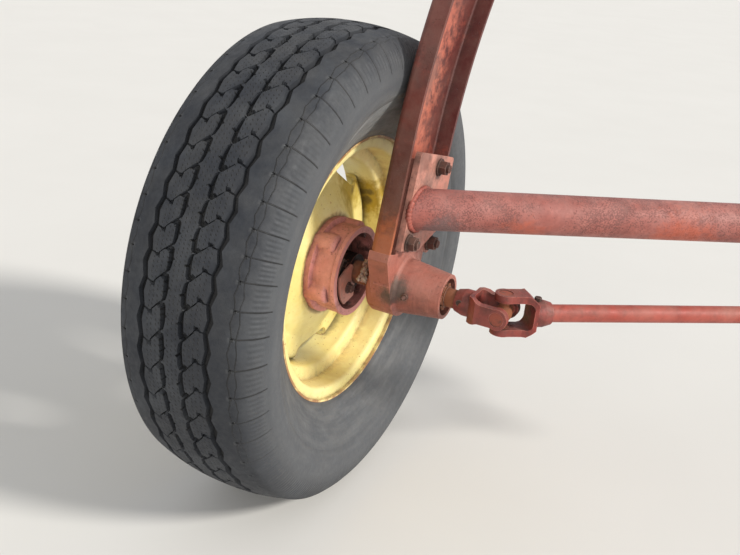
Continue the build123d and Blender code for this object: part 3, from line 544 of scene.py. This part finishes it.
def buildTyreLines(wires, source):  # cracks, sipes, ribs and pale spots
    look = lineLook
    local = wires.minus(wires.math("FRACT", wires.plus(source["Share"], 0.5)), 0.5)
    wander = wires.noise(look["wobbleScale"], detail=4.0, rough=0.6, shift=7.0)
    wobble = wires.times(wires.minus(wander, 0.5), look["wobble"])
    swing = wires.math("ABSOLUTE", local)
    across = wires.plus(source["Across"], wobble)

    def thin(value, centre, width):
        distance = wires.math("ABSOLUTE", wires.minus(value, centre))
        return wires.remap(distance, width * 0.5, width, 1.0, 0.0)

    def zone(value, start, end, soft):
        rise = wires.remap(value, start, start + soft)
        return wires.times(rise, wires.remap(value, end - soft, end, 1.0, 0.0))

    first = thin(wires.plus(across, wires.times(swing, look["firstSwing"])), look["firstCrack"], look["firstWidth"])
    second = thin(wires.minus(across, wires.times(swing, look["secondSwing"])), look["secondCrack"],
                  look["secondWidth"])
    bent = wires.plus(local, wires.times(wobble, look["crossBend"]))
    cross = wires.times(thin(bent, 0.0, look["crossWidth"]), zone(source["Across"], *look["crossZone"]))
    pit = wires.times(thin(local, *look["pit"]), thin(source["Across"], *look["pitAcross"]))
    cracks = wires.larger(wires.larger(first, second), wires.larger(cross, pit))
    turned = wires.times(wires.minus(source["Around"], look["crackedPitch"]), 2 * math.pi / look["pitches"])
    fade = wires.remap(wires.math("COSINE", turned), *look["crackFade"], look["leastCrack"], 1.0)
    spot = wires.times(thin(local, *look["spot"]), thin(source["Across"], *look["spotAcross"]))
    sloped = wires.add("ShaderNodeCombineXYZ", {
        "X": wires.times(source["Signed"], look["dashAcross"]),
        "Y": wires.minus(wires.times(source["Around"], look["dashAround"]),
                         wires.times(source["Signed"], look["dashSlope"]))}).outputs[0]
    cells = wires.add("ShaderNodeTexVoronoi", {"Vector": sloped, "Scale": 1.0, "Randomness": look["dashScatter"]},
                      voronoi_dimensions="2D")
    dots = wires.remap(cells.outputs["Distance"], *look["dashSize"], 1.0, 0.0)
    dashes = wires.times(dots, wires.remap(source["Across"], *look["dashEnd"], 1.0, 0.0))
    ribs = wires.times(wires.math("SINE", wires.times(source["Around"], look["ribPitch"])),
                       zone(source["Across"], *look["ribZone"]))
    return {"Cracks": wires.times(cracks, fade), "Sipes": dashes, "Ribs": ribs, "Spots": spot}


tyreLines = makeGroup("tyreLines", [("Across", "value", 0.0), ("Signed", "value", 0.0), ("Around", "value", 0.0),
                                    ("Share", "value", 0.0)],
                      [("Cracks", "value"), ("Sipes", "value"), ("Ribs", "value"), ("Spots", "value")],
                      buildTyreLines)
rubberTyre = tyreRubber("rubberTyre", tyreLook)


sealLook = {"color": (34, 31, 30), "dust": 0.5, "dustColor": (120, 104, 92), "glossScale": 90.0,
            "roughness": (0.5, 0.8), "grainScale": 400.0, "relief": 0.0003}


def plainRubber(name, look):
    material, wires, shader = startMaterial(name)
    film = useGroup(wires, dust, Amount=look["dust"])["Mask"]
    wires.put(shader.inputs["Base Color"], wires.paint(film, tint(*look["color"]), look["dustColor"]))
    gloss = wires.noise(look["glossScale"])
    wires.put(shader.inputs["Roughness"], wires.remap(gloss, 0.3, 0.7, *look["roughness"]))
    addBump(wires, shader, wires.noise(look["grainScale"]), look["relief"])
    return material


sealRubber = plainRubber("sealRubber", sealLook)
print("materials ready")


# Dress the construction pieces

finishes = {
    "leg_channel": legPaint, "leg_plate": platePaint, "cross_tube": tubePaint, "frame_flange": platePaint,
    "axle_housing": castPaint, "housing_bearings": darkSteel, "dust_seal": sealRubber, "grease_fitting": boltSteel,
    "leg_bolts": boltSteel, "leg_nuts": boltSteel, "rim": rimPaint, "wheel_disc": discPaint, "hub_drum": drumPaint,
    "lug_bolts": boltSteel, "hub_cap": drumPaint, "valve_stem": sealRubber, "stub_shaft": shaftSteel,
    "castle_nut": shaftSteel, "cotter_pin": shaftSteel, "pawl_carrier": greaseAndShadePaint, "pawls": darkSteel,
    "shaft_collar": darkSteel, "inner_fork": forkPaint, "outer_fork": forkPaint, "far_fork": forkPaint,
    "inner_cups": cupSteel, "outer_cups": cupSteel, "cross": shaftSteel, "drive_shaft": shaftPaint,
    "tyre": rubberTyre,
}
for name, finish in finishes.items():
    mesh = nodes[name].data
    mesh.materials.clear()
    mesh.materials.append(finish)


def makeMesh(name, points, faces, material, body, smooth=True):
    mesh = bpy.data.meshes.new(name)
    mesh.from_pydata([tuple(p) for p in points], [], faces)
    mesh.update()
    mesh.materials.append(material)
    if smooth:
        mesh.polygons.foreach_set("use_smooth", [True] * len(mesh.polygons))
    piece = bpy.data.objects.new(name, mesh)
    scene.collection.objects.link(piece)
    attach(piece, body)
    return piece


# Tyre: columns across the section, repeated round the wheel pitch by pitch

tyre = {
    "crown": ((0, 362), (44, 359.4), (88, 350)),        # section arcs: across, from the axle, in millimetres
    "shoulder": ((88, 350), (105, 325), (110, 296)),
    "bulgeEnd": (102, 271),
    "wall": ((102, 271), (87, 245), (63, 208.3)),
    "shoulderSteps": 7, "bulgeSteps": 3, "wallSteps": 5,
    "bead": ((53.7, 208.3), (53.7, 194.8), (49.7, 190.8), (40.7, 190.8), (40.7, 208.3)),
    "liner": ((85, 252), (99, 296), (77, 337), (0, 349)),
    "firstPitch": 104.0,                                # degrees, from rearward over the top
    "pitches": (6.5, 6.5, 6.0, 6.5, 6.5, 6.2, 5.8, 5.5, 5.3, 4.9, 5.8, 5.7, 6.8, 6.5, 6.5, 6.0, 7.0, 6.0, 6.5),
    "evenPitches": 20,                                  # before and after those, sharing the rest of the turn
    "rows": (0.02, 0.035, 0.12, 0.22, 0.32, 0.41, 0.47, 0.53, 0.59, 0.68, 0.78, 0.88, 0.965, 0.98),
    "groove": 8.0, "slit": 5.5,
    "opposite": 0.83,                                   # the left half is the right half turned round, moved this far
}
# how far each row climbs, as a share of a pitch, against the distance from the middle: the slit runs along a row
climbs = ((0, 0.415), (10, 0.45), (19, 0.44), (31, 0.11), (33.5, 0.0), (37, -0.01), (43.5, 0.05), (60, 0.08), (80, 0))
# edges of the ribs: row, distance from the middle
ribEdges = {
    "middle": ((-0.12, 10.4), (-0.035, 12.2), (-0.02, 15.0), (0.02, 15.8), (0.035, 14.4), (0.12, 11.4),
               (0.32, 9.8), (0.47, 9.5), (0.53, 6.8), (0.59, 9.6)),
    "blockLeft": ((-0.22, 18.8), (-0.035, 19.4), (0.035, 18.2), (0.12, 17.2), (0.41, 17.4), (0.68, 18.2)),
    "blockRight": ((0.02, 43.4), (0.53, 47.4)),
    "outerLeft": ((0.02, 51.4), (0.53, 57.0)),
}
slitCut = {0.02: 1, 0.98: 1}
mouthCut = {0.02: 1.2, 0.98: 1.2, 0.965: 1.2, 0.88: 1.2}
throatCut = {0.02: 1.1, 0.98: 1.1, 0.965: 1.0}
spurCut = {0.02: 1, 0.98: 1, 0.965: 0.7, 0.88: 0.9}
# columns: edge name or distance, shift, sunk all along, extra cuts
treadColumns = (
    (0, 0, 0, {}), (5, 0, 0, {}), ("middle", 0, 0, {}), ("middle", 0.9, 8, {}),
    ("blockLeft", -0.9, 8, {}), ("blockLeft", 0, 0, mouthCut), (20.8, 0, 0, mouthCut), (23, 0, 0, throatCut),
    (25, 0, 0, slitCut), (28.5, 0, 0, slitCut), (31, 0, 0, slitCut), (32.3, 0, 0, spurCut), (33.8, 0, 0, throatCut),
    (37, 0, 0, throatCut), (40.5, 0, 0, slitCut), ("blockRight", 0, 0, slitCut), ("blockRight", 0.9, 8, {}),
    ("outerLeft", -0.9, 8, {}), ("outerLeft", 0, 0, {}), (62, 0, 0, {}), (70, 0, 0, {}), (77, 0, 0, {}),
    (80, 0, 0, {0.02: 0.5, 0.98: 0.5}), (82, 0, 0, {}), (88, 0, 0, {}),
)


def circleThrough(a, b, c):
    (ax, ay), (bx, by), (cx, cy) = a, b, c
    twice = 2 * (ax * (by - cy) + bx * (cy - ay) + cx * (ay - by))
    squares = (ax * ax + ay * ay, bx * bx + by * by, cx * cx + cy * cy)
    x = (squares[0] * (by - cy) + squares[1] * (cy - ay) + squares[2] * (ay - by)) / twice
    y = (squares[0] * (cx - bx) + squares[1] * (ax - cx) + squares[2] * (bx - ax)) / twice
    return x, y, math.hypot(ax - x, ay - y)


def arcBetween(centre, first, last, steps):  # points after the first, to the last
    x, y = centre
    radius = math.hypot(first[0] - x, first[1] - y)
    start = math.atan2(first[1] - y, first[0] - x)
    end = math.atan2(last[1] - y, last[0] - x)
    return [(x + radius * math.cos(start + (end - start) * k / steps),
             y + radius * math.sin(start + (end - start) * k / steps)) for k in range(1, steps + 1)]


def sectionPoints():  # from the tread's edge over the shoulder and down the wall
    x, y, radius = circleThrough(*tyre["shoulder"])
    widest, end = tyre["shoulder"][2], tyre["bulgeEnd"]
    outline = arcBetween((x, y), tyre["shoulder"][0], widest, tyre["shoulderSteps"])
    inX, inY = (x - widest[0]) / radius, (y - widest[1]) / radius
    aheadX, aheadY = end[0] - widest[0], end[1] - widest[1]
    bulge = (aheadX ** 2 + aheadY ** 2) / (2 * (aheadX * inX + aheadY * inY))
    centre = (widest[0] + inX * bulge, widest[1] + inY * bulge)
    outline += arcBetween(centre, widest, end, tyre["bulgeSteps"])
    x, y, radius = circleThrough(*tyre["wall"])
    return outline + arcBetween((x, y), tyre["wall"][0], tyre["wall"][2], tyre["wallSteps"])


def between(pairs, value):
    return float(np.interp(value, [p[0] for p in pairs], [p[1] for p in pairs]))


def edgeAt(name, row):
    pairs = ribEdges[name]
    ring = [(r - 1, u) for r, u in pairs] + list(pairs) + [(r + 1, u) for r, u in pairs]
    return between(ring, row)


def tyreHalf():  # columns from the crown out, down the wall and back inside: across, radius, share, sunk, travelled
    crownX, crownY, crownRadius = circleThrough(*tyre["crown"])
    columns = []
    for place, shift, sunk, cuts in treadColumns:
        column = []
        for row in tyre["rows"]:
            edge = place if isinstance(place, (int, float)) else edgeAt(place, row)
            climb = between(climbs, edge)
            x = edge + shift
            radius = crownY + math.sqrt(crownRadius ** 2 - (x - crownX) ** 2)
            deep = max(sunk, cuts.get(row, 0) * tyre["slit"])
            column.append((x, radius - deep, row + climb, deep, x))
        columns.append(column)
    travelled, last = 88.0, (88.0, 350.0)
    for x, radius in sectionPoints():
        travelled += math.hypot(x - last[0], radius - last[1])
        last = (x, radius)
        columns.append([(x, radius, row, 0, travelled) for row in tyre["rows"]])
    for x, radius in tyre["bead"] + tyre["liner"]:
        climb = 0 if x else tyre["opposite"] / 2
        columns.append([(x, radius, row + climb, tyre["groove"], travelled) for row in tyre["rows"]])
    return columns


def pitchTurns():
    even = [(360 - sum(tyre["pitches"])) / (2 * tyre["evenPitches"])] * tyre["evenPitches"]
    bounds = [tyre["firstPitch"] - sum(even)]
    for turn in even + list(tyre["pitches"]) + even:
        bounds.append(bounds[-1] + turn)
    return bounds


def buildTyre():
    right = tyreHalf()
    bounds = pitchTurns()
    pitches = len(bounds) - 1
    ring = [b - 360 for b in bounds[:-1]] + bounds + [b + 360 for b in bounds[1:]]
    spots = list(range(-pitches, 2 * pitches + 1))
    # one closed loop of columns: out over the right half, then back in over the left half
    loop = [(column, 1) for column in right] + [(column[::-1], -1) for column in right[-2:0:-1]]
    rows = len(tyre["rows"])
    points, across, around, sunken = [], [], [], []
    for pitch in range(pitches):
        for row in range(rows):
            for column, side in loop:
                x, radius, share, sunk, travelled = column[row]
                spot = pitch + (share if side > 0 else tyre["opposite"] - share + 1)
                angle = math.radians(float(np.interp(spot, spots, ring)))
                points.append(fromWheel(side * x, radius * math.cos(angle), radius * math.sin(angle)))
                across.append(side * travelled)
                around.append(spot)
                sunken.append(min(sunk / tyre["groove"], 1.0))
    width = len(loop)
    total = pitches * rows
    faces = []
    for i in range(total):
        j = (i + 1) % total
        for k in range(width):
            n = (k + 1) % width
            faces.append((i * width + k, i * width + n, j * width + n, j * width + k))
    piece = makeMesh("tyreRubber", points, faces, rubberTyre, "wheel", smooth=False)
    for key, values in (("across", across), ("around", around), ("sunk", sunken)):
        layer = piece.data.attributes.new(key, "FLOAT", "POINT")
        layer.data.foreach_set("value", np.array(values, np.float32))
    walls = [min(abs(across[corner]) for corner in face) > 81 for face in faces]
    piece.data.polygons.foreach_set("use_smooth", walls)
    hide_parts("tyre")
    return piece


tyrePiece = buildTyre()
print("tyre", len(tyrePiece.data.polygons), "faces")


# Weld beads: a rippled string of metal along a closed path

weldPaint = paintedMetal("weldPaint", {**redLook, "seed": 30.0, "paint": (158, 68, 54), "faded": (184, 102, 86),
                                       "grain": 1.4, "relief": 0.001, "edgeShow": 0.3})
welds = {"tubeRadius": 30.15 * mm, "plateEnd": Vector((-0.750, 0, 0)), "flangeBack": Vector((-0.012, 0, 0)),
         "size": 0.0043, "count": 120, "sides": 8, "ripple": 0.16, "rippleStep": 1.9, "uneven": 0.1}


def weldBead(name, path, seed):
    chance = random.Random(seed)
    count, ring = len(path), welds["sides"]
    points, faces = [], []
    for i, (place, out) in enumerate(path):
        ahead = (path[(i + 1) % count][0] - path[i - 1][0]).normalized()
        side = ahead.cross(out).normalized()
        uneven = chance.uniform(-welds["uneven"], welds["uneven"])
        swell = welds["size"] * (1 + welds["ripple"] * math.sin(i * welds["rippleStep"]) + uneven)
        for k in range(ring):
            turn = 2 * math.pi * k / ring
            points.append(place + (side * math.cos(turn) + out * math.sin(turn)) * swell)
    for i in range(count):
        j = (i + 1) % count
        for k in range(ring):
            n = (k + 1) % ring
            faces.append((i * ring + k, j * ring + k, j * ring + n, i * ring + n))
    piece = makeMesh(name, points, faces, weldPaint, "leg")


def tubeRing(centre, facing):  # round the tube, on the face that looks that way
    tubeAxis = Vector((1, 0, 0))
    across = tubeAxis.orthogonal().normalized()
    other = tubeAxis.cross(across)
    path = []
    for i in range(welds["count"]):
        turn = 2 * math.pi * i / welds["count"]
        out = across * math.cos(turn) + other * math.sin(turn)
        reach = out * welds["tubeRadius"]
        path.append((centre + reach - tubeAxis * reach.dot(facing) / tubeAxis.dot(facing), out))
    return path


weldBead("plateWeld", tubeRing(welds["plateEnd"], inboard), 3)
weldBead("flangeWeld", tubeRing(welds["flangeBack"], Vector((1, 0, 0))), 4)
print("welds ready")


# Dried grease and rust crumbs on the housing, and the bolted cover inside the drum

crumbPaint = paintedMetal("crumbPaint", {**redLook, "seed": 40.0, "paint": (146, 124, 106), "faded": (204, 190, 170),
                                         "fadeScale": 160.0, "stain": (58, 40, 32), "stainScale": 190.0,
                                         "stainAmount": 0.6, "dust": 0.5, "dustColor": (186, 172, 150)})
crumbs = {"inward": (92.0, 101.5), "turns": (130, 172), "radius": (41, 48), "slope": 0.2, "size": (1.8, 4.8),
          "uneven": (0.55, 1.1), "count": 110}  # millimetres and degrees


def addCrumbs():
    chance = random.Random(12)
    points, faces = [], []
    for _ in range(crumbs["count"]):
        turn = math.radians(chance.uniform(*crumbs["turns"]))
        radius = chance.uniform(*crumbs["radius"])
        inward = chance.uniform(*crumbs["inward"]) - (radius - crumbs["radius"][0]) * crumbs["slope"]
        centre = fromWheel(inward, radius * math.cos(turn), radius * math.sin(turn))
        size = chance.uniform(*crumbs["size"])
        base = len(points)
        for across, out, along in ((1, 0, 0), (-1, 0, 0), (0, 1, 0), (0, -1, 0), (0, 0, 1), (0, 0, -1)):
            reach = size * chance.uniform(*crumbs["uneven"]) * mm
            points.append(centre + (inboard * across + rearward * out + upward * along) * reach)
        for b, c in ((2, 4), (4, 3), (3, 5), (5, 2)):
            faces += [(base, base + b, base + c), (base + 1, base + c, base + b)]
    piece = makeMesh("greaseCrumbs", points, faces, crumbPaint, "leg", smooth=False)
    print("crumbs", len(faces), "faces")


addCrumbs()

cover = {"corners": ((-55, 6), (-40, 13), (-21, 18)), "shaftRadius": 19, "shaftTurns": (140, 250),
         "lowCorners": ((-7, -37), (-26, -41)), "rimRadius": 55.5, "rimTurns": (230, 182), "steps": 7,
         "back": 62, "wall": 3, "bolt": (-27, -18), "boltRadius": 6.5, "washer": 9, "washerWall": 1.5, "head": 6.5}


def prism(outline, low, high, place=fromWheel):  # a closed ring of corners in millimetres, drawn along a direction
    count = len(outline)
    points = [place(depth, back, up) for depth in (low, high) for back, up in outline]
    faces = [tuple(range(count))[::-1], tuple(range(count, 2 * count))]
    faces += [(k, (k + 1) % count, count + (k + 1) % count, count + k) for k in range(count)]
    return points, faces


def ringOutline(back, up, radius, count):
    turns = [2 * math.pi * k / count for k in range(count)]
    return [(back + radius * math.cos(turn), up + radius * math.sin(turn)) for turn in turns]


def arcPoints(radius, start, end, steps):
    turns = [math.radians(start + (end - start) * k / (steps - 1)) for k in range(steps)]
    return [(radius * math.cos(turn), radius * math.sin(turn)) for turn in turns]


def addCover():
    outline = list(cover["corners"]) + arcPoints(cover["shaftRadius"], *cover["shaftTurns"], cover["steps"])
    outline += list(cover["lowCorners"]) + arcPoints(cover["rimRadius"], *cover["rimTurns"], cover["steps"])
    face = cover["back"] + cover["wall"]
    top = face + cover["washerWall"]
    boltX, boltY = cover["bolt"]
    parts = (("coverPlate", prism(outline, cover["back"], face), platePaint),
             ("coverWasher", prism(ringOutline(boltX, boltY, cover["washer"], 28), face, top), boltSteel),
             ("coverBolt", prism(ringOutline(boltX, boltY, cover["boltRadius"], 6), top, top + cover["head"]),
              boltSteel))
    for name, (points, faces), material in parts:
        piece = makeMesh(name, points, faces, material, "stub", smooth=False)


addCover()

farJoint = Vector((-0.0375, -0.06506, -0.1205))  # middle of the far fork
shaftAway = (farJoint - jointCentre).normalized()
screws = {  # start from the joint's centre in metres, radius and height in millimetres
    "outerScrew": {"body": "shaft", "start": shaftAway * 0.049 + upward * 0.0165, "outward": upward,
                   "radius": 5.2, "corners": 6, "height": 8.5},
    "innerScrew": {"body": "stub", "start": -inboard * 0.061 - rearward * 0.0155 + upward * 0.004,
                   "outward": -rearward, "radius": 4.6, "corners": 20, "height": 3.5},
}
screwSunk = 1.0


def addScrews():
    for name, screw in screws.items():
        outward = screw["outward"]
        first = outward.orthogonal().normalized()
        second = outward.cross(first)

        def place(depth, back, up):
            return jointCentre + screw["start"] + (outward * depth + first * back + second * up) * mm

        outline = ringOutline(0, 0, screw["radius"], screw["corners"])
        points, faces = prism(outline, -screwSunk, screw["height"], place)
        piece = makeMesh(name, points, faces, darkSteel, screw["body"], smooth=False)


addScrews()
print("cover bolt and screws ready")


# Camera, floor and light

view = {
    "place": (-1.0429, -1.1968, 0.3925),
    "right": (0.9838, -0.1499, 0.0950), "forward": (0.1754, 0.9084, -0.3800),
    "lens": 43.755, "sensor": 36.0, "near": 0.05, "far": 60,
}


def makeCamera():
    data = bpy.data.cameras.new("photoCamera")
    data.sensor_width = view["sensor"]
    data.lens = view["lens"]
    data.clip_start = view["near"]
    data.clip_end = view["far"]
    camera = bpy.data.objects.new("photoCamera", data)
    right = Vector(view["right"]).normalized()
    back = -Vector(view["forward"]).normalized()
    up = back.cross(right).normalized()
    right = up.cross(back).normalized()
    turn = Matrix((right, up, back)).transposed().to_4x4()
    camera.matrix_world = Matrix.Translation(Vector(view["place"])) @ turn
    scene.collection.objects.link(camera)
    scene.camera = camera


stage = {"floorDrop": 0.3625, "floorSize": 30.0, "floorColor": (226, 224, 219), "floorCloud": (206, 204, 198),
         "cloudScale": 3.0, "cloudShow": 0.12, "floorRoughness": 0.9,
         "worldColor": (238, 240, 244), "worldStrength": 0.6, "sunColor": (1.0, 0.97, 0.92)}
suns = {  # towards each: inboard, rearward, up
    "key": {"towards": (0.84, 0.05, 0.54), "strength": 2.9, "angle": 0.16},
    "fill": {"towards": (0.5, -0.8, 0.35), "strength": 0.9, "angle": 0.5},
}


def makeFloor():
    z = wheelCentre.z - stage["floorDrop"]
    half = stage["floorSize"] / 2
    mesh = bpy.data.meshes.new("floor")
    corners = [(-half, -half, z), (half, -half, z), (half, half, z), (-half, half, z)]
    mesh.from_pydata(corners, [], [(0, 1, 2, 3)])
    floor = bpy.data.objects.new("floor", mesh)
    scene.collection.objects.link(floor)
    material, wires, shader = startMaterial("floorPaper")
    cloud = wires.remap(wires.noise(stage["cloudScale"], detail=3.0, rough=0.5), 0.3, 0.7, 0.0, stage["cloudShow"])
    wires.put(shader.inputs["Base Color"], wires.paint(cloud, tint(*stage["floorColor"]), stage["floorCloud"]))
    wires.put(shader.inputs["Roughness"], stage["floorRoughness"])
    mesh.materials.append(material)


def makeSun(name, sun):
    data = bpy.data.lights.new(name, "SUN")
    data.energy = sun["strength"]
    data.angle = sun["angle"]
    data.color = stage["sunColor"]
    inward, back, up = sun["towards"]
    towards = (inboard * inward + rearward * back + upward * up).normalized()
    lamp = bpy.data.objects.new(name, data)
    lamp.rotation_mode = "QUATERNION"
    lamp.rotation_quaternion = towards.to_track_quat("Z", "Y")
    scene.collection.objects.link(lamp)


def makeWorld():
    world = bpy.data.worlds.new("studio")
    scene.world = world
    world.use_nodes = True
    world.node_tree.nodes.clear()
    wires = Wires(world.node_tree)
    soft = wires.add("ShaderNodeBackground", {"Color": tint(*stage["worldColor"]),
                                              "Strength": stage["worldStrength"]})
    seen = wires.add("ShaderNodeBackground", {"Color": tint(*stage["worldColor"]), "Strength": 1.0})
    path = wires.add("ShaderNodeLightPath")
    mirrored = wires.larger(path.outputs["Is Glossy Ray"], path.outputs["Is Transmission Ray"])
    shown = wires.larger(path.outputs["Is Camera Ray"], mirrored)
    both = wires.add("ShaderNodeMixShader")
    wires.put(both.inputs[0], shown)
    wires.put(both.inputs[1], soft.outputs[0])
    wires.put(both.inputs[2], seen.outputs[0])
    output = wires.add("ShaderNodeOutputWorld")
    wires.put(output.inputs["Surface"], both.outputs[0])


makeCamera()
makeFloor()
makeWorld()
for name, sun in suns.items():
    makeSun(name, sun)
scene.view_settings.view_transform = "Standard"
print("stage ready")
